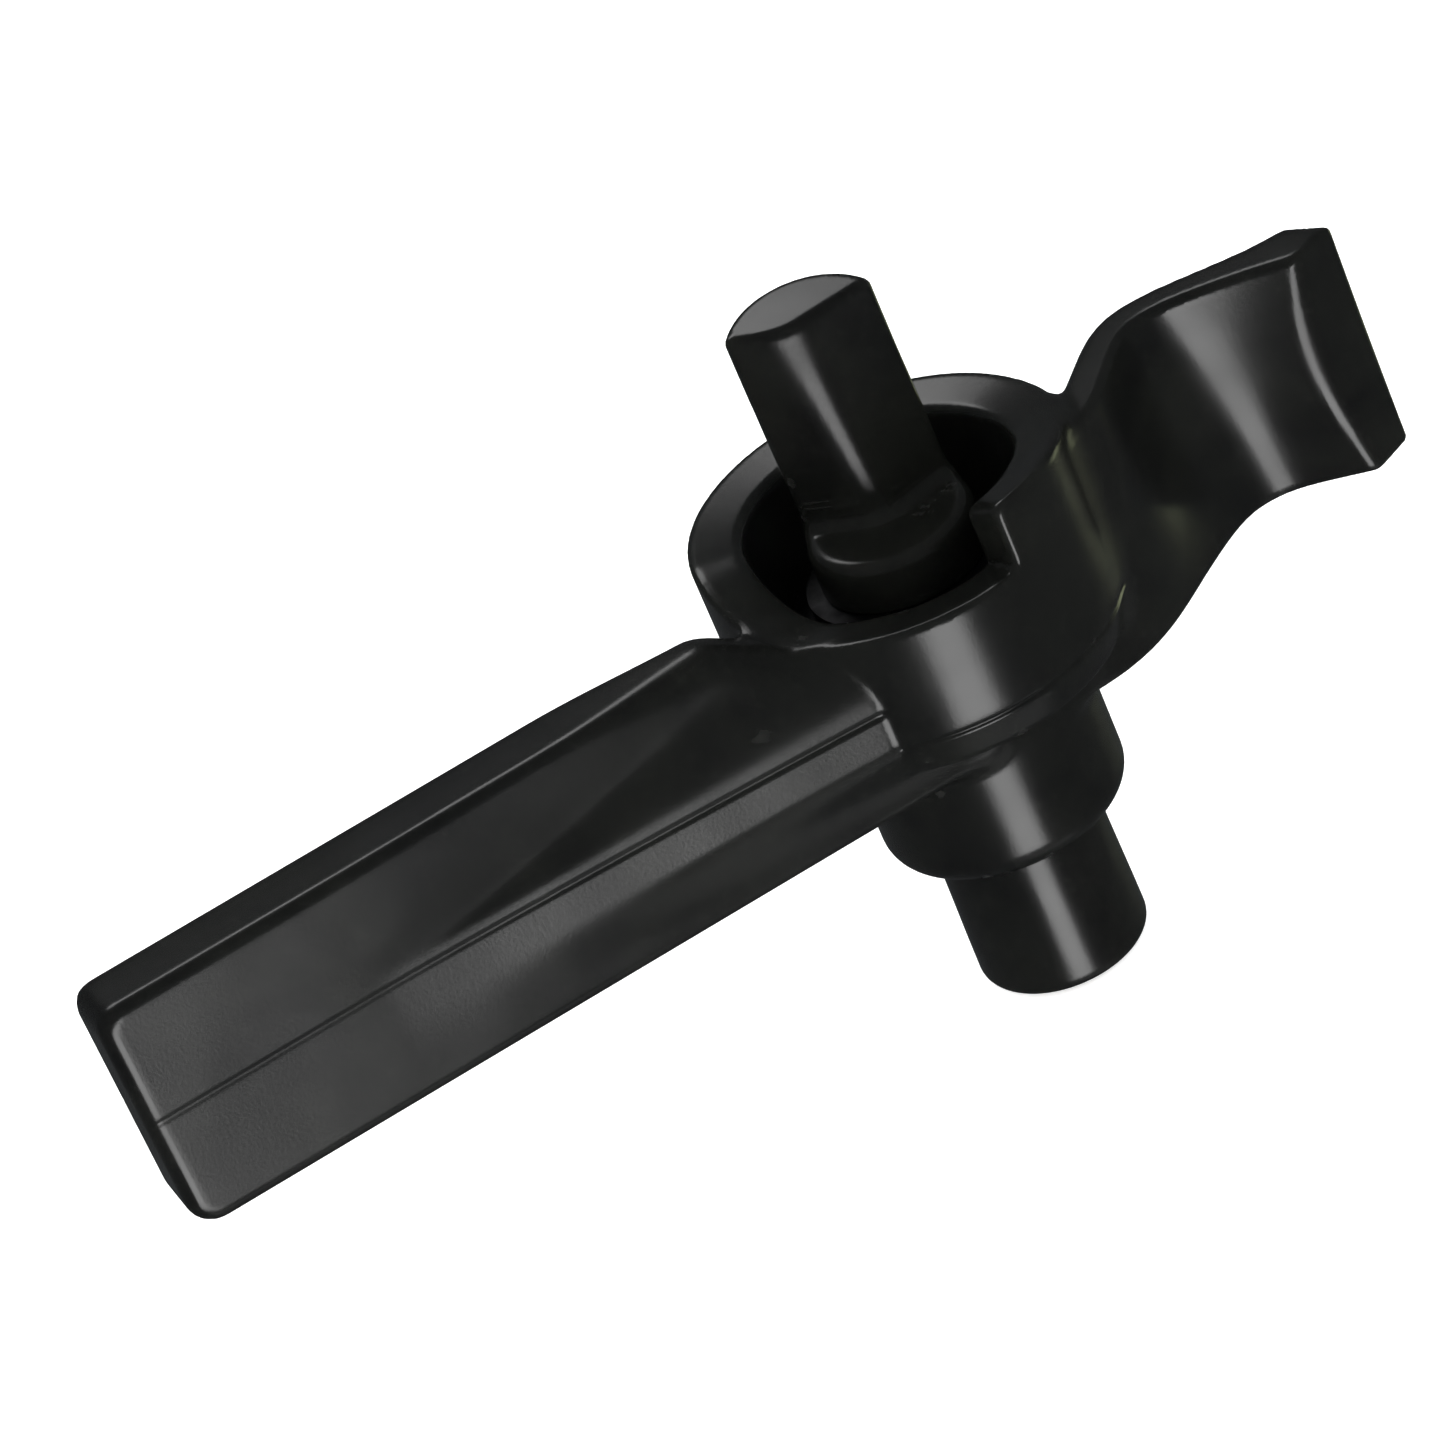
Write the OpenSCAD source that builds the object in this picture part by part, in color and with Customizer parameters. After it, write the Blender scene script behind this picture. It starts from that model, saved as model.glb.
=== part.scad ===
// Cam wing nut: a winged hub that turns on a spindle with a half-round tongue.
// The spindle's axis is Z. Z = 0 is the open end of the threaded insert.
// The long wing points along -X and the curved wing along +X. Millimetres.

/* [Spindle] */
// Diameter of the boss that stands below the hub
boss_d = 10.2; // [10:0.1:11]
// Length of the boss below the hub
boss_len = 10; // [8:0.5:14]
// Diameter of the journal inside the hub, and of the half-round tongue
journal_d = 9.8; // [9.4:0.1:9.9]
// Height of the top of the tongue
tongue_top = 44.4; // [38:0.2:50]
// How far behind the axis the front of the tongue lies at its edges
tongue_edge_y = 1.9; // [1:0.1:3]
// How far behind the axis the ridge down the tongue's front lies
tongue_ridge_y = 0.2; // [0:0.1:1]
// Turn of the tongue about the axis
tongue_turn = -15; // [-30:1:30]
// Radius of the insert's threaded hole, at the minor diameter of M6
thread_r = 2.5; // [2.4:0.05:2.6]
// Length of the threaded insert
insert_len = 8; // [5:0.5:8]

/* [Hub] */
// Outer diameter of the barrel
barrel_d = 22.4; // [21:0.1:25]
// Inner diameter of the cup in the top of the barrel
cup_d = 16; // [15:0.1:17]
// Diameter of the neck under the barrel
neck_d = 14.6; // [14.2:0.1:16]
// Length of the neck
neck_len = 10.6; // [9.5:0.1:12]
// Thickness of the cup's floor
cup_floor = 3.8; // [3:0.1:5]
// Height of the lowest stretch of the rim above the bottom of the barrel
rim_low = 9.7; // [9:0.1:11]
// Height of the level stretch of the rim above the bottom of the barrel
rim_mid = 12.3; // [11:0.1:13]
// Height of the rim's highest point, beside the step
rim_high = 13.9; // [13:0.1:15]
// Direction of the step in the rim, about Z from +X
step_angle = -76; // [-90:1:-60]

/* [Wings] */
// Reach of the long wing from the axis
long_reach = 52.8; // [40:0.2:60]
// Thickness of the long wing
long_t = 5; // [4:0.1:6]
// Distance of the long wing's middle plane from the axis
long_offset = 4.8; // [4:0.1:6]
// Height of the bottom edge of the long wing
long_bottom = 17.9; // [16:0.1:20]
// Height of the top edge of the long wing
long_top = 33; // [31:0.1:35]
// Height of the bottom edge of the curved wing
curved_bottom = 17.6; // [16:0.1:20]
// Height of the top edge of the curved wing
curved_top = 32.7; // [31:0.1:34]
// Thickness of the curved wing along its bend
curved_t = 2.4; // [2:0.1:3]
// Thickness of the curved wing where its wedge-shaped end begins
curved_end_t = 3.8; // [3:0.1:4.4]
// Reach of the curved wing from the axis
curved_reach = 30.2; // [29:0.1:33]

/* [Hidden] */
$fn = 96;
eps = 0.01;

plastic = "#26272a";
brass_colour = "#b08d3c";
steel_colour = "#3c3d40";
rubber_colour = "#1b1b1c";
bush_colour = "#2b2b2c";

// Heights of the hub
neck_z = boss_len;
barrel_z = neck_z + neck_len;
floor_z = barrel_z + cup_floor;
band_h = 2.3;
band_in = 0.7;
neck_round = 1.6;

// Fits round the journal
running = 0.05;
bush_t = 1.05;
bore_r = journal_d / 2 + running + bush_t;
lip_h = 1;
lip_r = boss_d / 2 + 0.1;

// Heights of the pieces round the journal, from the bottom up
seal_h = 1;
ring_h = 0.8;
gap = 0.1;
seal_z = neck_z + lip_h;
low_ring_z = seal_z + seal_h + gap;
bush_z = low_ring_z + ring_h + gap;
flange_h = 0.8;
washer_z = floor_z + flange_h + gap / 2;
washer_h = 0.6;
disc_z = washer_z + washer_h + gap / 2;
disc_h = 1;
disc_t = 0.5;
high_ring_z = disc_z + disc_h + gap / 2;
groove_depth = 0.6;
ring_out_r = bore_r - gap;
ring_slot = 3;

// Tongue
ledge_z = barrel_z + 10.4;
tip_chamfer = 0.5;

// Insert, whose end stands proud of the boss and takes the load
insert_r = 3.6;
insert_pocket = insert_len + 0.6;
insert_proud = 0.2;

// Rim of the cup: angles from the step, and the height at each
ramp_a = 100;
level_a = 240;
drop_a = 295;
rim_steps = 48;
step_width = 2;
// Room between the rim and a wing's root that stands above it
rim_clear = 0.3;

function smooth(t) = t * t * (3 - 2 * t);
function mix(a, b, t) = a + (b - a) * smooth(max(0, min(1, t)));
function rim_z(a) = barrel_z + (a < ramp_a ? mix(rim_high, rim_mid, a / ramp_a)
                              : mix(rim_mid, rim_low, (a - level_a) / (drop_a - level_a)));

// Middle line of the curved wing: two cubic curves that meet on its crest
root_bend = [[4.6, -4.8], [13.4, -5.6], [14.4, 2.9], [20.2, 2.9]];
tip_bend = [[20.2, 2.9], [23.2, 2.9], [24.3, 1.2], [27.9, 0.75]];
bend_steps = 14;
// Outermost edge of the curved wing, where the two faces of its wedge-shaped end meet
tip_edge = [curved_reach, 0.1];

function cubic(p, t) = p[0] * pow(1 - t, 3) + p[1] * 3 * t * pow(1 - t, 2)
                     + p[2] * 3 * t * t * (1 - t) + p[3] * pow(t, 3);
function slope(p, t) = (p[1] - p[0]) * pow(1 - t, 2) + (p[2] - p[1]) * 2 * t * (1 - t)
                     + (p[3] - p[2]) * t * t;
function side(p, t, half) = cubic(p, t) + half * [-slope(p, t)[1], slope(p, t)[0]] / norm(slope(p, t));
function tip_half(t) = (curved_t + (curved_end_t - curved_t) * t * t) / 2;
function wing_side(s) = concat(
    [for (i = [0 : bend_steps - 1]) side(root_bend, i / bend_steps, s * curved_t / 2)],
    [for (i = [0 : bend_steps]) side(tip_bend, i / bend_steps, s * tip_half(i / bend_steps))]);
function reversed(list) = [for (i = [len(list) - 1 : -1 : 0]) list[i]];

// Round ring with a rectangular section
module ring(inner_r, outer_r, low_z, height) {
    translate([0, 0, low_z])
        difference() {
            cylinder(r = outer_r, h = height);
            translate([0, 0, -1])
                cylinder(r = inner_r, h = height + 2);
        }
}

// Neck and barrel as one turned shape, with the band round the bottom of the barrel
module hub_body() {
    neck_r = neck_d / 2;
    barrel_r = barrel_d / 2;
    rotate_extrude()
        union() {
            translate([0, neck_z + neck_round])
                square([neck_r, neck_len]);
            translate([0, neck_z])
                square([neck_r - neck_round, neck_round + eps]);
            intersection() {
                translate([neck_r - neck_round, neck_z + neck_round])
                    circle(r = neck_round);
                translate([neck_r - neck_round - eps, neck_z])
                    square([neck_round + 1, neck_round + eps]);
            }
            polygon([[0, barrel_z], [barrel_r - band_in, barrel_z],
                     [barrel_r, barrel_z + band_h], [barrel_r, barrel_z + rim_high + 1],
                     [0, barrel_z + rim_high + 1]]);
        }
}

// Everything above the rim of the cup, to be cut away: a closed ring whose underside follows the rim
module above_rim() {
    inner = cup_d / 4;
    outer = barrel_d;
    top_z = barrel_z + rim_high + 8;
    a = [for (i = [0 : rim_steps - 1]) (360 - step_width) * i / (rim_steps - 1)];
    points = [for (t = a)
                  let (c = cos(step_angle + t), s = sin(step_angle + t), z = rim_z(t))
                      each [[inner * c, inner * s, z], [outer * c, outer * s, z],
                            [outer * c, outer * s, top_z], [inner * c, inner * s, top_z]]];
    faces = [for (i = [0 : rim_steps - 1])
                 let (p = 4 * i, q = 4 * ((i + 1) % rim_steps))
                     each [[p, p + 1, q + 1], [p, q + 1, q], [p + 1, p + 2, q + 2, q + 1],
                           [p + 2, p + 3, q + 3, q + 2], [p + 3, p, q, q + 3]]];
    polyhedron(points = points, faces = faces);
}

// Long straight wing, offset to the front of the axis
module long_wing() {
    corner = 1.8;
    height = long_top - long_bottom;
    translate([0, -long_offset + long_t / 2, long_bottom])
        rotate([90, 0, 0])
            linear_extrude(height = long_t)
                union() {
                    translate([-long_reach, corner])
                        square([long_reach - 2, height - 2 * corner]);
                    translate([corner - long_reach, 0])
                        square([long_reach - 2 - corner, height]);
                    for (y = [corner, height - corner])
                        translate([corner - long_reach, y])
                            circle(r = corner);
                }
}

// Short curved wing, thicker towards its end, which is a blunt wedge
module curved_wing() {
    translate([0, 0, curved_bottom])
        linear_extrude(height = curved_top - curved_bottom)
            polygon(concat(wing_side(1), [tip_edge], reversed(wing_side(-1))));
}

module winged_hub() {
    color(plastic)
        difference() {
            union() {
                hub_body();
                long_wing();
                curved_wing();
            }
            intersection() {
                above_rim();
                cylinder(d = barrel_d + 2 * rim_clear, h = long_top + 10);
            }
            translate([0, 0, floor_z])
                cylinder(r = cup_d / 2, h = 30);
            translate([0, 0, seal_z])
                cylinder(r = bore_r, h = neck_len + cup_floor);
            translate([0, 0, neck_z - 1])
                cylinder(r = lip_r, h = lip_h + 2);
        }
}

// Half-round outline of the tongue, with a low ridge down its front
module tongue_outline() {
    r = journal_d / 2;
    edge_x = sqrt(r * r - tongue_edge_y * tongue_edge_y);
    intersection() {
        circle(r = r);
        polygon([[-edge_x - 1, tongue_edge_y + (tongue_edge_y - tongue_ridge_y) / edge_x],
                 [0, tongue_ridge_y],
                 [edge_x + 1, tongue_edge_y + (tongue_edge_y - tongue_ridge_y) / edge_x],
                 [edge_x + 1, r + 1], [-edge_x - 1, r + 1]]);
    }
}

module spindle() {
    r = journal_d / 2;
    color(plastic)
        difference() {
            union() {
                translate([0, 0, insert_proud])
                    cylinder(r1 = boss_d / 2 - tip_chamfer, r2 = boss_d / 2, h = tip_chamfer);
                translate([0, 0, insert_proud + tip_chamfer])
                    cylinder(d = boss_d, h = boss_len - insert_proud - tip_chamfer - gap);
                translate([0, 0, boss_len - gap - eps])
                    cylinder(r = r, h = ledge_z - boss_len + gap + eps);
                rotate([0, 0, tongue_turn])
                    translate([0, 0, ledge_z - eps])
                        linear_extrude(height = tongue_top - ledge_z + eps)
                            tongue_outline();
            }
            translate([0, 0, -1])
                cylinder(r = insert_r, h = insert_pocket + 1);
            for (z = [low_ring_z, high_ring_z])
                ring(r - groove_depth, r + 2, z, ring_h);
        }
}

// Threaded insert, with a groove round its middle that locks it in the boss
module threaded_insert() {
    groove_h = 1.4;
    color(brass_colour)
        difference() {
            cylinder(r = insert_r, h = insert_len);
            translate([0, 0, -1])
                cylinder(r = thread_r, h = insert_len + 2);
            ring(insert_r - 0.4, insert_r + 1, (insert_len - groove_h) / 2, groove_h);
        }
}

// Flanged bush in the neck, which the journal runs in
module neck_bush() {
    inner_r = journal_d / 2 + running;
    color(bush_colour)
        difference() {
            union() {
                translate([0, 0, bush_z])
                    cylinder(r = bore_r, h = floor_z - bush_z + eps);
                translate([0, 0, floor_z])
                    cylinder(r = bore_r + 1.3, h = flange_h);
            }
            translate([0, 0, bush_z - 1])
                cylinder(r = inner_r, h = floor_z - bush_z + flange_h + 2);
        }
}

module seal_ring() {
    color(rubber_colour)
        ring(journal_d / 2 + gap, bore_r - gap / 2, seal_z, seal_h);
}

// Open ring that snaps into a groove of the journal
module retaining_ring(low_z) {
    inner_r = journal_d / 2 - groove_depth + gap / 2;
    difference() {
        ring(inner_r, ring_out_r, low_z + gap / 4, ring_h - gap / 2);
        translate([0, -ring_slot / 2, low_z - 1])
            cube([ring_out_r + 1, ring_slot, ring_h + 2]);
    }
}

module retaining_rings() {
    color(steel_colour)
        for (z = [low_ring_z, high_ring_z])
            retaining_ring(z);
}

module thrust_washer() {
    color(steel_colour)
        ring(journal_d / 2 + running * 2, bore_r + 1.2, washer_z, washer_h);
}

// Conical spring washer that presses the hub against the lower ring
module disc_spring() {
    inner_r = journal_d / 2 + running * 2;
    outer_r = bore_r + 1.2;
    color(steel_colour)
        rotate_extrude()
            polygon([[inner_r, disc_z + disc_h - disc_t], [outer_r, disc_z],
                     [outer_r, disc_z + disc_t], [inner_r, disc_z + disc_h]]);
}

winged_hub();
spindle();
threaded_insert();
neck_bush();
seal_ring();
retaining_rings();
thrust_washer();
disc_spring();
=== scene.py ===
"""Cam wing nut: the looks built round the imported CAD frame.

The hub and the spindle are mouldings. Each is described by a distance function in millimetres, in which
unions and cuts are rounded as a mould rounds them, and is turned into one closed quad mesh.
The metal, rubber and bush pieces keep their CAD meshes and get their own materials.
"""

import math

import bpy
import numpy as np
from mathutils import Matrix, Vector


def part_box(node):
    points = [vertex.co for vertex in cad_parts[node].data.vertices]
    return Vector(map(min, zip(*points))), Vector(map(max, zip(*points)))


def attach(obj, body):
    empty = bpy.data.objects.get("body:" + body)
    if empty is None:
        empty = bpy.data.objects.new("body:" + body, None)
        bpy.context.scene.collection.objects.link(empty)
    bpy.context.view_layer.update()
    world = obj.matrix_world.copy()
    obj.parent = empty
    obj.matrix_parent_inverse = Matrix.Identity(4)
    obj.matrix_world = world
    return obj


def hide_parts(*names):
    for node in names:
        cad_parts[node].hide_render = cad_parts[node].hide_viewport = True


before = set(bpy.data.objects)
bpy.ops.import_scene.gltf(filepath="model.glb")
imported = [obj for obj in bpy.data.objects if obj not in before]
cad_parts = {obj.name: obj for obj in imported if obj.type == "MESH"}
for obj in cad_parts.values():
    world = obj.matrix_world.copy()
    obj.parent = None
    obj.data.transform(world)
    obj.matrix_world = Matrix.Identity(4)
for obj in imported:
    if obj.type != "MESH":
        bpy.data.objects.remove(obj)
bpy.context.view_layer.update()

MM = 0.001


def box_mm(node):
    """Lowest and highest corner of a CAD node in millimetres."""
    low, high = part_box(node)
    return np.array(low) / MM, np.array(high) / MM


# ---------------------------------------------------------------- sizes, in millimetres

hub_low, hub_high = box_mm("winged_hub")
spindle_low, spindle_high = box_mm("spindle")
_, bush_high = box_mm("neck_bush")
seal_low, _ = box_mm("seal_ring")
rings_low, rings_high = box_mm("retaining_rings")
_, insert_high = box_mm("threaded_insert")

# Hub
BARREL_R = 11.2
CUP_R = 8.0
NECK_R = 7.3
NECK_Z = hub_low[2]
BARREL_Z = NECK_Z + 10.6
FLOOR_Z = BARREL_Z + 3.8
NECK_TOP = FLOOR_Z - 1
BUSH_FLANGE = 1.3
BORE_R = bush_high[0] - BUSH_FLANGE
LIP_R = 5.2

# Band at the foot of the barrel: it slopes in below a fine line
BAND_H = 2.3
BAND_IN = 0.7
BAND_LINE_R = 0.16

# Rim of the cup, in angles from its step
RIM_HIGH = hub_high[2] - BARREL_Z
RIM_MID = RIM_HIGH - 1.6
RIM_LOW = RIM_HIGH - 4.2
STEP_ANGLE = -76
STEP_REACH = 60
RAMP_A = 100
LEVEL_A = 240
DROP_A = 295
RIM_SLOPE = 0.14
RAMP_SLOPE = 0.16

# Rounding and fillets of the hub
FOOT_ROUND = 0.45
BAND_ROUND = 0.2
BAND_LINE_ROUND = 0.05
RIM_ROUND = 0.5
STEP_ROUND = 0.75
STEP_FILLET = 0.5
NECK_ROUND = 1.6
NECK_FILLET = 0.9
WING_FILLET = 0.15
WING_FILLET_MORE = 1.6
WING_FILLET_Z = 29.5
WING_FILLET_RUN = 2.5
CURVED_FILLET = 1.0
CUP_FLOOR_ROUND = 0.5
CUP_EDGE_ROUND = 0.6
OVER_RIM = 0.3
BORE_ROUND = 0.15
LIP_ROUND = 0.2

# Long wing
WING_T = 5.0
WING_Y = -4.8
WING_Z = (17.9, 33.0)
WING_CORNER = 1.8
WING_TOP_SPARE = 0.2
WING_FACE_IN = 0.1
WING_TOP_ROUND = 0.5
WING_TOP_TILT = 0.06
WING_DROP = 2.3
WING_DROP_X = -14.5
WING_DROP_RUN = 5
WING_ROUND = 0.8
WING_SOFTER = 1.4
WING_SOFTER_X = -24
WING_SOFTER_RUN = 12

# Relief of the long wing's front face: it starts at RELIEF_X and grows towards the barrel
RELIEF_X = -38
RELIEF_RUN = 28
RELIEF_MOST = 1.1
RELIEF_POWER = 1.4
RELIEF_OUT = 1.5
RELIEF_IN = 0.5
RELIEF_TURN = 0.6
RELIEF_SPREAD = 6.4
RIB_START = 0.5
RIB_FLAT = 2
RIB_FALL = 2.8
PARTING_D = 0.05
PARTING_MORE = 0.08
PARTING_HALF = 0.2

# Curved wing: its middle line is two cubic curves and a short straight end
CURVED_Z = (17.6, 32.7)
CURVED_T = 2.4
CURVED_END_T = 3.8
ROOT_BEND = ((4.6, -4.8), (13.4, -5.6), (14.4, 2.9), (20.2, 2.9))
TIP_BEND = ((20.2, 2.9), (23.0, 2.9), (24.6, 1.5), (27.9, 0.6))
LINE_END = (29.4, 0.5)
CURVE_POINTS = 90
ROOT_SWELL = 0.15
CURVE_TWIST = 1.5
TWIST_X = 20
TWIST_REACH = 5

# End of the curved wing: two facets that meet in an upright edge
TIP_EDGE = (hub_high[0] + 0.14, 0.1)
FACET_X = 20
FACET_LEAN = 12
FACET_BOW = 15
FACET_ROUND = 0.5
BACK_NORMAL = (0.78, 0.625)
BACK_ROUND = 0.35
CURVED_ROUND = 0.5

# Spindle
BOSS_R = spindle_high[0]
BOSS_TOP = NECK_Z - 0.1
BOSS_ROUND = 0.75
BOSS_TAPER = 0.12
BOSS_TAPER_H = 9
JOURNAL_R = 4.9
JOURNAL_START = BOSS_TOP - 2
LEDGE_Z = BARREL_Z + 10.4
LEDGE_ROUND = 0.8
LEDGE_FILLET = 0.9
GROOVE_D = 0.6
GROOVE_ROUND = 0.05
RING_T = 0.75
RING_PLAY = 0.03
POCKET_PLAY = 0.6
POCKET_ROUND = 0.15

# Tongue: turned about the axis, with its ridge at RIDGE_U along its width
TONGUE_FOOT = LEDGE_Z - 2
TONGUE_TURN = -15
TONGUE_EDGE_Y = 1.9
TONGUE_RIDGE_Y = -0.2
TONGUE_ROUND = 0.5
RIDGE_LEAN = 0.1
RIDGE_U = -1.5
RIDGE_DRIFT = 0.1
RIDGE_ROUND = 0.9
TOP_SLOPE = math.radians(9)
TOP_INSET = 0.45


# ---------------------------------------------------------------- distance functions


def join(a, b, r):
    """Union of two shapes, with a fillet of radius r where they meet."""
    corner = np.hypot(np.maximum(r - a, 0), np.maximum(r - b, 0))
    return np.maximum(r, np.minimum(a, b)) - corner


def overlap(a, b, r):
    """What two shapes share, with the edge between them rounded to radius r."""
    corner = np.hypot(np.maximum(r + a, 0), np.maximum(r + b, 0))
    return np.minimum(-r, np.maximum(a, b)) + corner


def cut(a, b, r):
    """Shape a with shape b taken out, and the edge rounded to radius r."""
    return overlap(a, -b, r)


def slab(v, low, high):
    """Distance to the stretch from low to high along one axis."""
    return np.abs(v - (low + high) / 2) - (high - low) / 2


def smooth(t):
    """Rises from 0 to 1 with level ends as t goes from 0 to 1."""
    t = np.clip(t, 0, 1)
    return t * t * (3 - 2 * t)


def rounded_rectangle(u, v, u_range, v_range, r):
    """Distance to a rectangle with corners of radius r."""
    du = slab(u, *u_range) + r
    dv = slab(v, *v_range) + r
    outside = np.hypot(np.maximum(du, 0), np.maximum(dv, 0))
    return np.minimum(np.maximum(du, dv), 0) + outside - r


def cubic(points, t):
    """Points at t on the cubic curve with these four control points."""
    p = np.array(points)[:, :, None]
    s = 1 - t
    return p[0] * s**3 + 3 * p[1] * t * s**2 + 3 * p[2] * t**2 * s + p[3] * t**3


def rim_height(turn):
    """Height of the rim's top at an angle from the step, counter-clockwise, in degrees."""
    ramp = RIM_HIGH - (RIM_HIGH - RIM_MID) * smooth(turn / RAMP_A)
    drop = (RIM_MID - RIM_LOW) * smooth((turn - LEVEL_A) / (DROP_A - LEVEL_A))
    return BARREL_Z + ramp - drop


def rim(x, y, z, rho):
    """What lies under the rim: it slopes down towards the cup, and its ramp starts at an upright step."""
    turn = np.degrees(np.arctan2(y, x)) - STEP_ANGLE
    turn = np.mod(turn, 360)
    slope = RIM_SLOPE + RAMP_SLOPE * smooth(1 - turn / RAMP_A)
    inward = slope * np.maximum(BARREL_R - rho, 0)
    plain = z - rim_height(turn) + inward
    signed = np.where(turn > 180, turn - 360, turn)
    near = np.abs(signed) < STEP_REACH
    high_side = z - rim_height(np.maximum(signed, 0)) + inward
    step_face = -rho * np.sin(np.radians(np.clip(signed, -STEP_REACH, STEP_REACH)))
    high_side = overlap(high_side, step_face, STEP_ROUND)
    low_side = z - (BARREL_Z + RIM_LOW) + inward
    return np.where(near, join(high_side, low_side, STEP_FILLET), plain)


def barrel(x, y, z, rho):
    """Barrel with its bevelled band, the line over the band and the rounded rim."""
    slope = BAND_IN / BAND_H
    band_top = BARREL_Z + BAND_H
    wall = rho - BARREL_R
    band = (wall + (band_top - z) * slope) / math.hypot(1, slope)
    side = overlap(wall, band, BAND_ROUND)
    line = np.hypot(wall, z - band_top) - BAND_LINE_R
    side = cut(side, line, BAND_LINE_ROUND)
    body = overlap(side, BARREL_Z - z, FOOT_ROUND)
    return overlap(body, rim(x, y, z, rho), RIM_ROUND)


def long_wing(x, y, z):
    """Flat wing whose front face turns into a rib below its parting line and sinks in above it."""
    low, high = WING_Z
    off_middle = z - (low + high) / 2
    drop = WING_DROP * smooth((x - WING_DROP_X) / WING_DROP_RUN)
    top = high - drop - WING_TOP_TILT * (y - WING_Y)
    outline = rounded_rectangle(x, z, (hub_low[0], 0), (low, high + WING_TOP_SPARE), WING_CORNER)
    outline = overlap(outline, z - top, WING_TOP_ROUND)

    growth = np.clip((x - RELIEF_X) / RELIEF_RUN, 0, RELIEF_MOST)
    spread = RELIEF_TURN + RELIEF_SPREAD * growth**RELIEF_POWER
    sunk = smooth((off_middle - RIB_START) / spread)
    rib = np.exp(-((np.minimum(off_middle + RIB_FLAT, 0) / RIB_FALL) ** 2))
    relief = growth**RELIEF_POWER * (RELIEF_OUT * (1 - sunk) * rib - RELIEF_IN * sunk)
    # the relief is on the front face only
    relief = relief * smooth((WING_Y - y) / (WING_T / 2) + 0.5)
    parting = (PARTING_D + PARTING_MORE * growth) * np.exp(-((off_middle / PARTING_HALF) ** 2))
    faces = np.abs(y - WING_Y) - WING_T / 2 + WING_FACE_IN - relief + parting

    softer = WING_SOFTER * smooth((x - WING_SOFTER_X) / WING_SOFTER_RUN) * (off_middle > 0)
    return overlap(outline, faces, WING_ROUND + softer)


# The curved wing's middle line and half thickness. Near its root it swells, and only on its back face
CURVE_T = np.linspace(0, 1, CURVE_POINTS)
CURVE_ROOT = cubic(ROOT_BEND, CURVE_T)
CURVE_TIP = cubic(TIP_BEND, CURVE_T)
CURVE_LINE = np.concatenate([CURVE_ROOT[:, :-1], CURVE_TIP, np.array([LINE_END]).T], axis=1).T
SWELL = ROOT_SWELL * np.sin(math.pi * CURVE_T[:-1])
CURVE_SHIFT = np.concatenate([SWELL, np.zeros(len(CURVE_T) + 1)])
CURVE_HALF = np.concatenate([
    CURVED_T / 2 + SWELL,
    (CURVED_T + (CURVED_END_T - CURVED_T) * CURVE_T**4) / 2,
    [CURVED_END_T / 2],
])
CURVE_SLOPE = np.gradient(CURVE_LINE, axis=0)
CURVE_SLOPE /= np.linalg.norm(CURVE_SLOPE, axis=1)[:, None]
CURVE_LINE = CURVE_LINE + CURVE_SHIFT[:, None] * np.stack([-CURVE_SLOPE[:, 1], CURVE_SLOPE[:, 0]], 1)


def thick_line(x, y):
    """Distance, seen from above, to the curved wing's thick middle line."""
    best = np.full(x.shape, 1e9)
    starts, ends = CURVE_LINE[:-1], CURVE_LINE[1:]
    for i, (start, end) in enumerate(zip(starts, ends)):
        along = end - start
        t = ((x - start[0]) * along[0] + (y - start[1]) * along[1]) / (along @ along)
        t = np.clip(t, 0, 1)
        gap = np.hypot(x - start[0] - t * along[0], y - start[1] - t * along[1])
        half = CURVE_HALF[i] + t * (CURVE_HALF[i + 1] - CURVE_HALF[i])
        best = np.minimum(best, gap - half)
    return best


# The distance is worked out once on a fine grid that reaches past the wing, and read from it afterwards
FINE = 0.05
FINE_X = np.arange(-1, 32, FINE)
FINE_Y = np.arange(-12, 8, FINE)
FINE_VALUES = thick_line(*np.meshgrid(FINE_X, FINE_Y, indexing="ij"))


def curved_outline(x, y):
    """The same distance, read between the points of the fine grid."""
    u = np.clip((x - FINE_X[0]) / FINE, 0, len(FINE_X) - 1.001)
    v = np.clip((y - FINE_Y[0]) / FINE, 0, len(FINE_Y) - 1.001)
    i, j = u.astype(int), v.astype(int)
    u, v = u - i, v - j
    low = FINE_VALUES[i, j] * (1 - v) + FINE_VALUES[i, j + 1] * v
    high = FINE_VALUES[i + 1, j] * (1 - v) + FINE_VALUES[i + 1, j + 1] * v
    return low * (1 - u) + high * u


def curved_wing(x, y, z):
    """Bent and slightly twisted wing whose end has a bowed facet in front and a flat one behind."""
    low, high = CURVED_Z
    share = (z - (low + high) / 2) / ((high - low) / 2)
    twist = CURVE_TWIST * share * np.exp(-(((x - TWIST_X) / TWIST_REACH) ** 2))
    outline = curved_outline(x + twist, y)
    lean = np.radians(FACET_LEAN + FACET_BOW * share**2)
    edge_x, edge_y = TIP_EDGE
    front = (y - edge_y) * np.cos(lean) + (edge_x - x) * np.sin(lean)
    wing = cut(outline, np.maximum(front, FACET_X - x), FACET_ROUND)
    back = (x - edge_x) * BACK_NORMAL[0] + (y - edge_y) * BACK_NORMAL[1]
    wing = overlap(wing, back, BACK_ROUND)
    return overlap(wing, slab(z, low, high), CURVED_ROUND)


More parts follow.
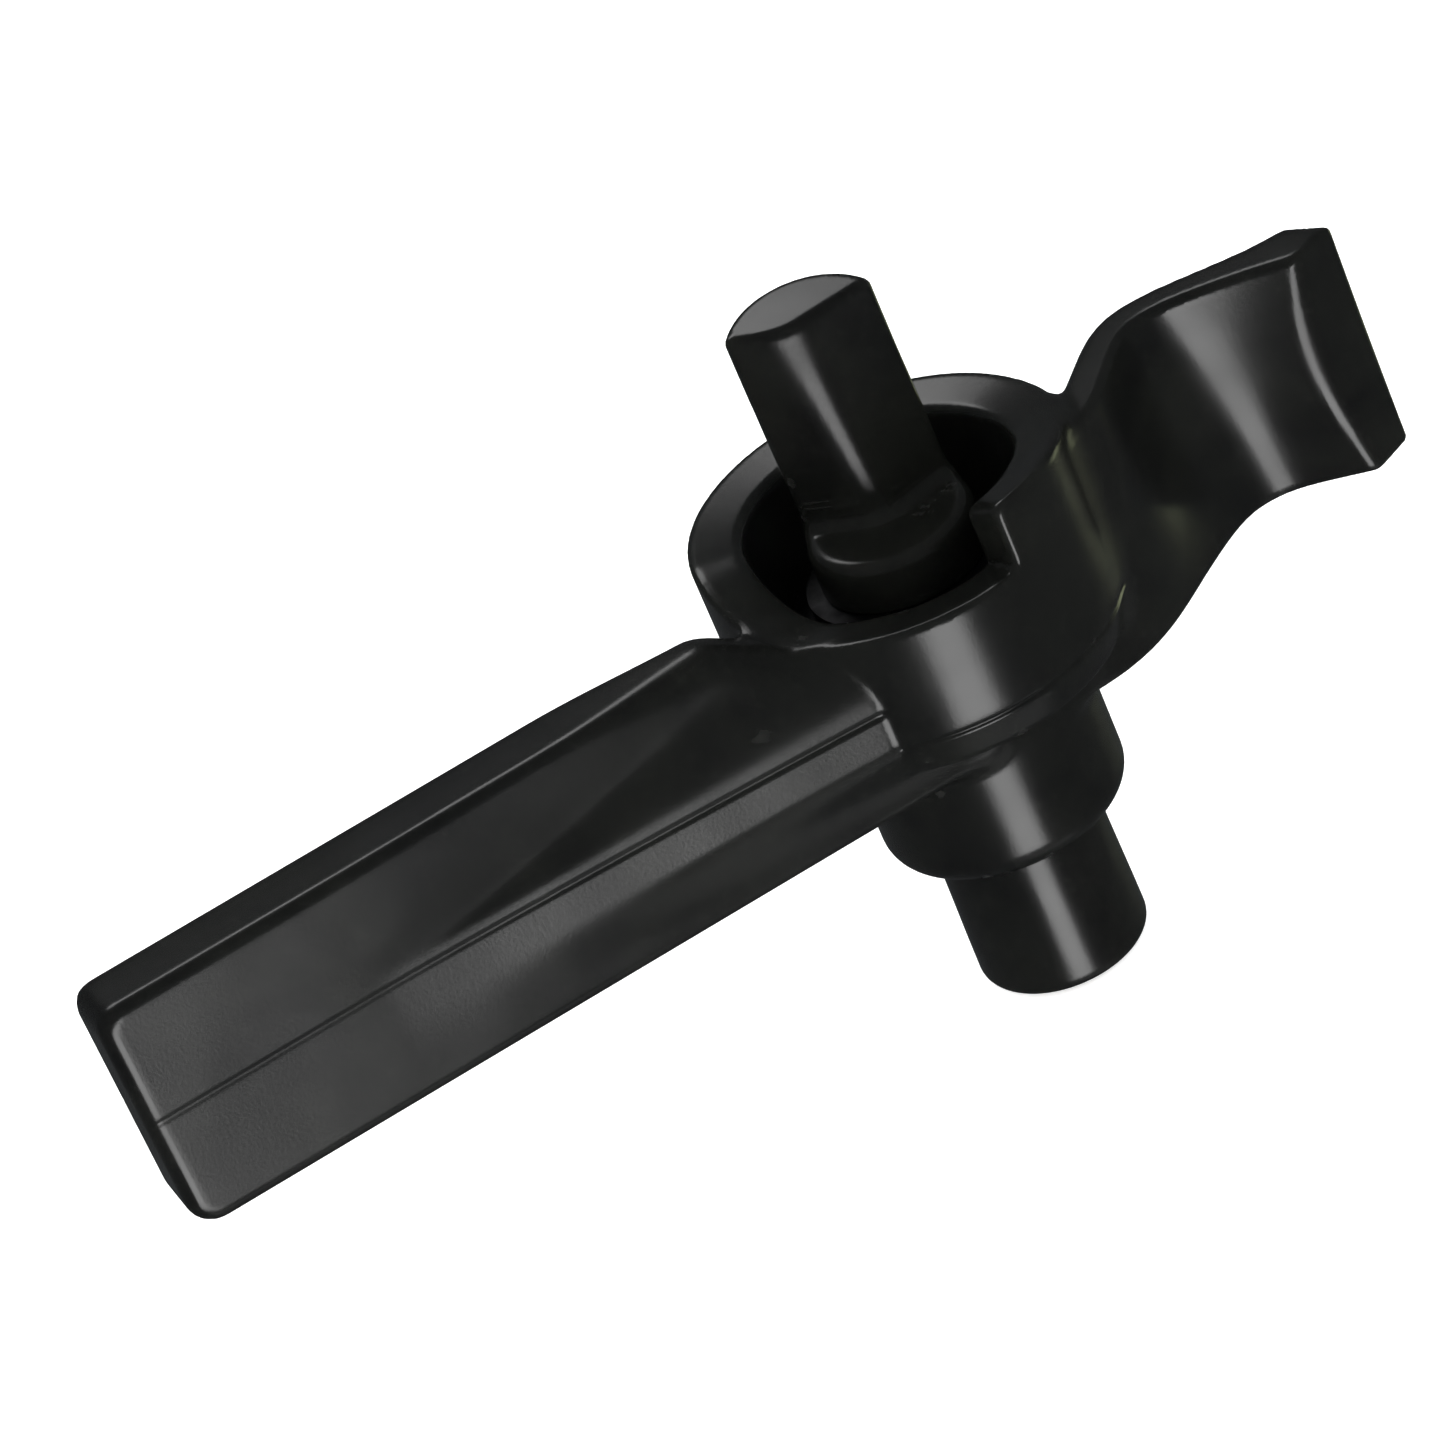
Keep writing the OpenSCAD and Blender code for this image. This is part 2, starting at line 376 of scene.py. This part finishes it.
def hub(x, y, z):
    """The whole winged hub, bored for the bush."""
    rho = np.hypot(x, y)
    neck = overlap(rho - NECK_R, slab(z, NECK_Z, NECK_TOP), NECK_ROUND)
    wings_neck = join(neck, long_wing(x, y, z), NECK_FILLET)
    fillet = WING_FILLET + WING_FILLET_MORE * smooth((z - WING_FILLET_Z) / WING_FILLET_RUN)
    body = join(wings_neck, barrel(x, y, z, rho), fillet)
    body = join(body, curved_wing(x, y, z), CURVED_FILLET)
    # what stands over the rim inside the barrel's wall is cut away
    over = np.maximum(-rim(x, y, z, rho), rho - BARREL_R - OVER_RIM)
    body = cut(body, over, OVER_RIM)
    cup = overlap(rho - CUP_R, FLOOR_Z - z, CUP_FLOOR_ROUND)
    body = cut(body, cup, CUP_EDGE_ROUND)
    bore = np.maximum(rho - BORE_R, seal_low[2] - z)
    body = cut(body, bore, BORE_ROUND)
    return cut(body, rho - LIP_R, LIP_ROUND)


def tongue(x, y, z):
    """Half-round tongue with a leaning ridge down its front and a sloping top."""
    turn = math.radians(TONGUE_TURN)
    u = x * math.cos(turn) + y * math.sin(turn)
    v = y * math.cos(turn) - x * math.sin(turn)
    edge = math.sqrt(JOURNAL_R**2 - TONGUE_EDGE_Y**2)
    ridge = TONGUE_RIDGE_Y + RIDGE_LEAN * (z - (LEDGE_Z + spindle_high[2]) / 2)
    lean = np.arctan2(TONGUE_EDGE_Y - ridge, edge)
    along = u - RIDGE_U - RIDGE_DRIFT * (spindle_high[2] - z)
    left = (ridge - v) * np.cos(lean) - along * np.sin(lean)
    right = (ridge - v) * np.cos(lean) + along * np.sin(lean)
    front = overlap(left, right, RIDGE_ROUND)
    section = overlap(front, np.hypot(x, y) - JOURNAL_R, TONGUE_ROUND)
    peak_y = JOURNAL_R - TOP_INSET
    top = (z - spindle_high[2]) * math.cos(TOP_SLOPE) + (peak_y - y) * math.sin(TOP_SLOPE)
    return overlap(section, np.maximum(top, TONGUE_FOOT - z), TONGUE_ROUND)


def spindle(x, y, z):
    """Boss, grooved journal and tongue, with the insert's pocket."""
    rho = np.hypot(x, y)
    taper = BOSS_TAPER * smooth((z - spindle_low[2]) / BOSS_TAPER_H)
    boss = overlap(rho - BOSS_R + taper, slab(z, spindle_low[2], BOSS_TOP), BOSS_ROUND)
    shaft = overlap(rho - JOURNAL_R, slab(z, JOURNAL_START, LEDGE_Z), LEDGE_ROUND)
    body = join(np.minimum(boss, shaft), tongue(x, y, z), LEDGE_FILLET)
    for ring_z in (rings_low[2], rings_high[2] - RING_T):
        width = slab(z, ring_z - RING_PLAY, ring_z + (RING_T + RING_PLAY))
        groove = np.maximum(JOURNAL_R - GROOVE_D - rho, width)
        body = cut(body, groove, GROOVE_ROUND)
    pocket = np.maximum(rho - insert_high[0], z - insert_high[2] - POCKET_PLAY)
    return cut(body, pocket, POCKET_ROUND)


# ---------------------------------------------------------------- from distance to mesh


def stations(*stretches):
    """Grid lines along one axis: each stretch is (start, end, spacing)."""
    lines = [
        np.linspace(a, b, max(2, round((b - a) / step) + 1))[:-1]
        for a, b, step in stretches
    ]
    return np.append(np.concatenate(lines), stretches[-1][1])


SLABS = 24


def grid_values(shape, xs, ys, zs):
    """The distance at every grid point, one slab of x at a time."""
    slabs = []
    for part in np.array_split(np.arange(len(xs)), SLABS):
        x, y, z = np.meshgrid(xs[part], ys, zs, indexing="ij")
        slabs.append(shape(x, y, z))
    return np.concatenate(slabs)


def net(values, axes):
    """Vertices and quads of the surface where values cross zero, by surface nets."""
    inside = values < 0
    n = np.array(values.shape) - 1
    corners = [(i, j, k) for i in (0, 1) for j in (0, 1) for k in (0, 1)]
    count = np.zeros(n, np.uint8)
    for i, j, k in corners:
        count += inside[i : n[0] + i, j : n[1] + j, k : n[2] + k]
    cells = np.argwhere((count > 0) & (count < 8))
    total, hits = np.zeros((len(cells), 3)), np.zeros(len(cells))
    for a in corners:
        for axis in range(3):
            if a[axis]:
                continue
            b = tuple(1 if m == axis else a[m] for m in range(3))
            ia, ib = (cells + a).T, (cells + b).T
            va, vb = values[tuple(ia)], values[tuple(ib)]
            crossed = (va < 0) != (vb < 0)
            t = np.where(crossed, va / np.where(crossed, va - vb, 1), 0)
            for m in range(3):
                pa, pb = axes[m][ia[m]], axes[m][ib[m]]
                total[:, m] += crossed * (pa + t * (pb - pa))
            hits += crossed
    index = np.full(n, -1, np.int64)
    index[tuple(cells.T)] = np.arange(len(cells))
    quads = []
    for axis in range(3):
        u, v = (axis + 1) % 3, (axis + 2) % 3
        ahead = np.roll(inside, -1, axis)
        edge = inside != ahead
        edge[tuple(slice(-1, None) if m == axis else slice(None) for m in range(3))] = False
        at = np.argwhere(edge)
        around = []
        for du, dv in ((-1, -1), (0, -1), (0, 0), (-1, 0)):
            cell = at.copy()
            cell[:, u] += du
            cell[:, v] += dv
            around.append(index[tuple(cell.T)])
        quad = np.stack(around, 1)
        outward = inside[tuple(at.T)]
        quads.append(np.where(outward[:, None], quad, quad[:, ::-1]))
    return total / hits[:, None], np.concatenate(quads)


def gradient(shape, p, h=0.02):
    """Slope of the distance at each point, by differences over 2h."""
    g = np.empty_like(p)
    for m in range(3):
        step = np.zeros(3)
        step[m] = h
        g[:, m] = (shape(*(p + step).T) - shape(*(p - step).T)) / (2 * h)
    return g


def settle(shape, p, rounds=3, reach=0.25):
    """Moves points onto the surface along its gradient."""
    for _ in range(rounds):
        g = gradient(shape, p)
        step = shape(*p.T)[:, None] * g / np.maximum((g * g).sum(1), 0.05)[:, None]
        length = np.linalg.norm(step, axis=1, keepdims=True)
        p = p - step * np.minimum(1, reach / np.maximum(length, 1e-9))
    return p


def moulding(name, shape, axes, material):
    """One closed mesh object of a distance function."""
    values = grid_values(shape, *axes)
    points, quads = net(values, axes)
    points = settle(shape, points)
    mesh = bpy.data.meshes.new(name)
    mesh.from_pydata((points * MM).tolist(), [], quads.tolist())
    mesh.update()
    mesh.polygons.foreach_set("use_smooth", np.ones(len(quads), bool))
    mesh.materials.append(material)
    piece = bpy.data.objects.new(name, mesh)
    bpy.context.scene.collection.objects.link(piece)
    print(name, len(points), "points", len(quads), "quads")
    return piece


# ---------------------------------------------------------------- materials


class Nodes:
    """Shorthand for building one material's nodes."""

    def __init__(self, name):
        self.material = bpy.data.materials.new(name)
        self.material.use_nodes = True
        self.tree = self.material.node_tree
        self.shader = self.tree.nodes["Principled BSDF"]
        self.place = self.add("ShaderNodeTexCoord").outputs["Object"]

    def add(self, kind, **settings):
        """A new node, with its settings."""
        node = self.tree.nodes.new(kind)
        for key, value in settings.items():
            setattr(node, key, value)
        return node

    def link(self, a, b):
        """Joins an output to an input."""
        self.tree.links.new(a, b)

    def scaled(self, per_mm):
        """Object coordinates stretched to a number of features to the millimetre on each axis."""
        node = self.add("ShaderNodeMapping")
        node.inputs["Scale"].default_value = [s / MM for s in per_mm]
        self.link(self.place, node.inputs["Vector"])
        return node.outputs["Vector"]

    def noise(self, per_mm, detail=3, roughness=0.5, distortion=0.0):
        """Noise from 0 to 1 with this many features to the millimetre, on every axis or on each one."""
        if not hasattr(per_mm, "__len__"):
            per_mm = (per_mm,) * 3
        node = self.add("ShaderNodeTexNoise")
        node.inputs["Scale"].default_value = 1
        node.inputs["Detail"].default_value = detail
        node.inputs["Roughness"].default_value = roughness
        node.inputs["Distortion"].default_value = distortion
        self.link(self.scaled(per_mm), node.inputs["Vector"])
        return node.outputs["Fac"]

    def span(self, value, low, high, to_low=0.0, to_high=1.0):
        """The value, carried from the range low to high over to the range to_low to to_high."""
        node = self.add("ShaderNodeMapRange")
        for key, number in zip(("From Min", "From Max", "To Min", "To Max"), (low, high, to_low, to_high)):
            node.inputs[key].default_value = number
        self.link(value, node.inputs["Value"])
        return node.outputs["Result"]

    def math(self, operation, a, b=0.0):
        """One operation on two outputs or numbers."""
        node = self.add("ShaderNodeMath", operation=operation)
        for socket, value in zip(node.inputs, (a, b)):
            if isinstance(value, (int, float)):
                socket.default_value = value
            else:
                self.link(value, socket)
        return node.outputs["Value"]

    def mix(self, factor, a, b):
        """Colour a, and colour b where the factor is 1."""
        node = self.add("ShaderNodeMix", data_type="RGBA")
        self.link(factor, node.inputs["Factor"])
        for socket, value in ((node.inputs[6], a), (node.inputs[7], b)):
            if isinstance(value, tuple):
                socket.default_value = (*value, 1)
            else:
                self.link(value, socket)
        return node.outputs[2]

    def bump(self, height, depth_mm, below=None):
        """Relief of a depth in millimetres, over another relief where one is given."""
        node = self.add("ShaderNodeBump")
        node.inputs["Strength"].default_value = 1
        node.inputs["Distance"].default_value = depth_mm * MM
        self.link(height, node.inputs["Height"])
        if below is not None:
            self.link(below, node.inputs["Normal"])
        return node.outputs["Normal"]

    def edges(self):
        """1 on sharp outer edges, 0 on flat surfaces."""
        return self.span(self.add("ShaderNodeNewGeometry").outputs["Pointiness"], 0.52, 0.62)

    def above_floor(self, reach):
        """1 on and above the cup's floor, nearer to the spindle's axis than a reach in millimetres."""
        split = self.add("ShaderNodeSeparateXYZ")
        self.link(self.place, split.inputs[0])
        x, y, z = split.outputs
        squares = self.math("ADD", self.math("MULTIPLY", x, x), self.math("MULTIPLY", y, y))
        near = self.span(self.math("SQRT", squares), (reach - 0.1) * MM, (reach + 0.1) * MM, 1.0, 0.0)
        high = self.span(z, (FLOOR_Z - 0.6) * MM, (FLOOR_Z - 0.2) * MM)
        return self.math("MULTIPLY", near, high)

    def finish(self, colour, roughness, normal):
        """Links the shader's three varying inputs and gives the material."""
        self.link(colour, self.shader.inputs["Base Color"])
        self.link(roughness, self.shader.inputs["Roughness"])
        self.link(normal, self.shader.inputs["Normal"])
        return self.material


def moulded_plastic(name, dark, light, gloss, dull_reach=None):
    """Black moulded plastic: faint flow clouding, polished and dull patches, rubbed edges, fine grain.

    From the cup's floor up, the plastic is dull out to the radius dull_reach, where one is given."""
    n = Nodes(name)
    clouds = n.span(n.noise(0.11, detail=4, roughness=0.6, distortion=0.8), 0.35, 0.68)
    specks = n.span(n.noise(1.6, detail=2), 0.62, 0.8)
    colour = n.mix(clouds, dark, light)
    colour = n.mix(n.math("MULTIPLY", specks, 0.25), colour, tuple(3 * c for c in light))
    rubbed = n.math("MULTIPLY", n.edges(), n.span(n.noise(0.7, detail=4), 0.35, 0.65, 0.25, 0.9))
    colour = n.mix(n.math("MULTIPLY", rubbed, 0.4), colour, (0.02, 0.021, 0.019))

    patchwork = n.noise((0.12, 0.12, 0.2), detail=2, distortion=0.3)
    patches = n.span(patchwork, 0.3, 0.7, gloss - 0.02, gloss + 0.04)
    scuffs = n.span(n.noise((0.9, 0.9, 4.0), detail=4, roughness=0.7), 0.6, 0.8, 0.0, 0.02)
    roughness = n.math("ADD", n.math("ADD", patches, scuffs), n.math("MULTIPLY", rubbed, 0.08))
    if dull_reach:
        roughness = n.math("ADD", roughness, n.math("MULTIPLY", n.above_floor(dull_reach), 0.45))

    sink = n.bump(n.noise(0.12, detail=1), 0.05)
    grain = n.bump(n.noise(5.0, detail=3, roughness=0.6), 0.004, sink)
    n.shader.inputs["Specular IOR Level"].default_value = 0.4
    return n.finish(colour, roughness, grain)


def turned_metal(name, dark, light, gloss, lines_per_mm):
    """Metal with fine turning lines, tarnish and brighter edges."""
    n = Nodes(name)
    tarnish = n.span(n.noise(0.5, detail=4, roughness=0.6), 0.35, 0.7)
    colour = n.mix(tarnish, light, dark)
    bright = tuple(min(1.0, 1.25 * c) for c in light)
    colour = n.mix(n.math("MULTIPLY", n.edges(), 0.5), colour, bright)
    lines = n.noise((0.05, 0.05, lines_per_mm), detail=2)
    dulled = n.span(tarnish, 0, 1, gloss, gloss + 0.18)
    roughness = n.math("ADD", dulled, n.span(lines, 0.3, 0.7, 0, 0.06))
    n.shader.inputs["Metallic"].default_value = 1.0
    return n.finish(colour, roughness, n.bump(lines, 0.012))


def dull_polymer(name, dark, light, gloss):
    """Rubber or bush plastic: soft mottling and a fine skin."""
    n = Nodes(name)
    colour = n.mix(n.span(n.noise(0.6, detail=4), 0.3, 0.7), dark, light)
    roughness = n.span(n.noise(1.3, detail=3), 0.3, 0.7, gloss - 0.06, gloss + 0.06)
    n.shader.inputs["Specular IOR Level"].default_value = 0.25
    return n.finish(colour, roughness, n.bump(n.noise(7.0, detail=3), 0.01))


# Roughness of the plastics where they are polished
GLOSS = 0.22
hub_plastic = moulded_plastic("hub_plastic", (0.0028, 0.003, 0.0029), (0.0055, 0.0059, 0.005), GLOSS, CUP_R)
spindle_plastic = moulded_plastic("spindle_plastic", (0.003, 0.0032, 0.003), (0.006, 0.0064, 0.0054), GLOSS)
node_materials = {
    "threaded_insert": turned_metal("insert_brass", (0.36, 0.22, 0.07), (0.72, 0.52, 0.22), 0.25, 9.0),
    "neck_bush": dull_polymer("bush_plastic", (0.008, 0.008, 0.0077), (0.016, 0.016, 0.0154), 0.65),
    "seal_ring": dull_polymer("seal_rubber", (0.012, 0.012, 0.012), (0.025, 0.025, 0.024), 0.7),
    "retaining_rings": turned_metal("spring_steel", (0.015, 0.015, 0.016), (0.045, 0.045, 0.047), 0.6, 6.0),
    "thrust_washer": turned_metal("washer_steel", (0.02, 0.02, 0.021), (0.05, 0.05, 0.052), 0.6, 6.0),
}
node_materials["disc_spring"] = node_materials["retaining_rings"]

for node_name, material in node_materials.items():
    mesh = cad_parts[node_name].data
    mesh.materials.clear()
    mesh.materials.append(material)


# ---------------------------------------------------------------- mouldings

# Spacing of the grid lines: wider along the long wing, and narrow across the band's line and the parting line
MARGIN = 0.4
HUB_STEP = 0.27
WING_END_X = -49
WING_END_STEP = 0.3
WING_ROOT_X = -13
WING_STEP = 0.5
LINE_STEP = 0.1
BAND_LINE_Z = (22.5, 23.3)
BETWEEN_STEP = 0.24
PARTING_Z = (25.0, 25.9)
SPINDLE_STEP = 0.2

hub_axes = (
    stations(
        (hub_low[0] - MARGIN, WING_END_X, WING_END_STEP),
        (WING_END_X, WING_ROOT_X, WING_STEP),
        (WING_ROOT_X, hub_high[0] + MARGIN, HUB_STEP),
    ),
    stations((-BARREL_R - MARGIN, BARREL_R + MARGIN, HUB_STEP)),
    stations(
        (NECK_Z - MARGIN, BAND_LINE_Z[0], HUB_STEP),
        (*BAND_LINE_Z, LINE_STEP),
        (BAND_LINE_Z[1], PARTING_Z[0], BETWEEN_STEP),
        (*PARTING_Z, LINE_STEP),
        (PARTING_Z[1], hub_high[2] + MARGIN, HUB_STEP),
    ),
)
hub_piece = moulding("hub_moulding", hub, hub_axes, hub_plastic)
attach(hub_piece, "hub")
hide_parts("winged_hub")

spindle_axes = (
    stations((-BOSS_R - MARGIN, BOSS_R + MARGIN, SPINDLE_STEP)),
    stations((-BOSS_R - MARGIN, BOSS_R + MARGIN, SPINDLE_STEP)),
    stations((spindle_low[2] - MARGIN, spindle_high[2] + MARGIN, SPINDLE_STEP)),
)
spindle_piece = moulding("spindle_moulding", spindle, spindle_axes, spindle_plastic)
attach(spindle_piece, "spindle")
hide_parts("spindle")


# ---------------------------------------------------------------- floor, light and camera


def direction(azimuth, elevation):
    """Unit vector towards a place in the sky: azimuth 0 is -Y, and 90 is +X."""
    a, e = math.radians(azimuth), math.radians(elevation)
    return Vector((math.sin(a) * math.cos(e), -math.cos(a) * math.cos(e), math.sin(e)))


LIGHT_CENTRE = Vector((0, 0, 25))


def softbox(name, azimuth, elevation, distance, width, height, brightness, colour=(1, 1, 1)):
    """Rectangular light that faces the middle of the object. Sizes in millimetres, brightness as radiance."""
    light = bpy.data.lights.new(name, "AREA")
    light.shape = "RECTANGLE"
    light.size, light.size_y = width * MM, height * MM
    light.energy = brightness * math.pi * light.size * light.size_y
    light.color = colour
    lamp = bpy.data.objects.new(name, light)
    towards = direction(azimuth, elevation)
    lamp.location = (LIGHT_CENTRE + towards * distance) * MM
    lamp.rotation_mode = "QUATERNION"
    lamp.rotation_quaternion = towards.to_track_quat("Z", "Y")
    lamp.visible_camera = False
    bpy.context.scene.collection.objects.link(lamp)
    return lamp


def pale_surface(name, colour, glow):
    """Pale matt surface with faint clouding that also glows a little, so that it stays even."""
    n = Nodes(name)
    clouds = n.span(n.noise(0.01, detail=3), 0.3, 0.7)
    n.shader.inputs["Emission Strength"].default_value = glow
    n.shader.inputs["Emission Color"].default_value = (1, 1, 1, 1)
    n.shader.inputs["Specular IOR Level"].default_value = 0.1
    low = tuple(0.985 * c for c in colour)
    roughness = n.span(clouds, 0, 1, 0.85, 0.9)
    return n.finish(n.mix(clouds, low, colour), roughness, n.bump(n.noise(2.0, detail=2), 0.005))


def stage_mesh(name, rings, sides, material):
    """Round surface through rings of (radius, height) in millimetres."""
    points = [
        (r * math.cos(2 * math.pi * i / sides) * MM, r * math.sin(2 * math.pi * i / sides) * MM, z * MM)
        for r, z in rings
        for i in range(sides)
    ]
    faces = [
        (a * sides + i, (a + 1) * sides + i, (a + 1) * sides + (i + 1) % sides, a * sides + (i + 1) % sides)
        for a in range(len(rings) - 1)
        for i in range(sides)
    ]
    faces.append(tuple(range(sides)))
    mesh = bpy.data.meshes.new(name)
    mesh.from_pydata(points, [], faces)
    mesh.polygons.foreach_set("use_smooth", np.ones(len(faces), bool))
    mesh.materials.append(material)
    piece = bpy.data.objects.new(name, mesh)
    bpy.context.scene.collection.objects.link(piece)
    return piece


# Round floor whose edge sweeps up into a wall
GROUND_Z = -0.05
GROUND_R = 2500
SWEEP_R = 600
WALL_TOP = 4000
GROUND_SIDES = 72
sweep = [
    (GROUND_R + SWEEP_R * math.sin(math.radians(a)), GROUND_Z + SWEEP_R * (1 - math.cos(math.radians(a))))
    for a in range(0, 91, 6)
]
floor = stage_mesh(
    "floor",
    [(30, GROUND_Z), (300, GROUND_Z), *sweep, (GROUND_R + SWEEP_R, WALL_TOP)],
    GROUND_SIDES,
    pale_surface("pale_floor", (0.9, 0.9, 0.895), 0.62),
)
# The floor is not reflected and lets light through, so cards below the horizon light the upright faces
floor.visible_glossy = False
floor.visible_shadow = False

softbox("front_card", -10.5, -27.5, 2000, 785, 930, 6.8)
softbox("low_card", 10, -62, 1200, 800, 440, 0.3)
softbox("back_box", 178, 48, 1000, 520, 280, 3.6)
softbox("right_card", 112, -16, 700, 280, 300, 1.7, (0.92, 1.0, 0.6))
top_box = softbox("top_box", -60, 78, 900, 900, 900, 1.6)
top_box.visible_glossy = False

ROOM_COLOUR = (0.9, 0.95, 1.0, 1)
ROOM_LIGHT = 0.07
world = bpy.data.worlds.new("room")
bpy.context.scene.world = world
world.use_nodes = True
background = world.node_tree.nodes["Background"]
background.inputs["Color"].default_value = ROOM_COLOUR
background.inputs["Strength"].default_value = ROOM_LIGHT

bpy.context.scene.view_settings.view_transform = "Standard"

# Camera: it looks at a point beside the spindle, and is rolled about its line of sight
VIEW_AZIMUTH = -14.84
VIEW_ELEVATION = 30.23
VIEW_ROLL = 22.86
VIEW_DISTANCE = 402.2
VIEW_CENTRE = Vector((0, 0, 29))
AIM_RIGHT = -12.85
AIM_UP = -5.36
SENSOR = 36
LENS = 180.35
NEAR = 0.01
FAR = 20


def aimed_camera():
    """Camera at the view's azimuth, elevation and roll, aimed to the side of the view's centre."""
    back = direction(VIEW_AZIMUTH, VIEW_ELEVATION)
    right = Vector((math.cos(math.radians(VIEW_AZIMUTH)), math.sin(math.radians(VIEW_AZIMUTH)), 0))
    up = back.cross(right)
    place = VIEW_CENTRE + back * VIEW_DISTANCE
    aim = VIEW_CENTRE + right * AIM_RIGHT + up * AIM_UP
    sight = (aim - place).normalized()
    level = sight.cross(up).normalized()
    over = level.cross(sight)
    roll = math.radians(VIEW_ROLL)
    side = level * math.cos(roll) - over * math.sin(roll)
    top = level * math.sin(roll) + over * math.cos(roll)
    data = bpy.data.cameras.new("camera")
    data.sensor_width, data.lens = SENSOR, LENS
    data.clip_start, data.clip_end = NEAR, FAR
    camera = bpy.data.objects.new("camera", data)
    turn = Matrix((side, top, -sight)).transposed().to_4x4()
    camera.matrix_world = Matrix.Translation(place * MM) @ turn
    bpy.context.scene.collection.objects.link(camera)
    return camera


bpy.context.scene.camera = aimed_camera()
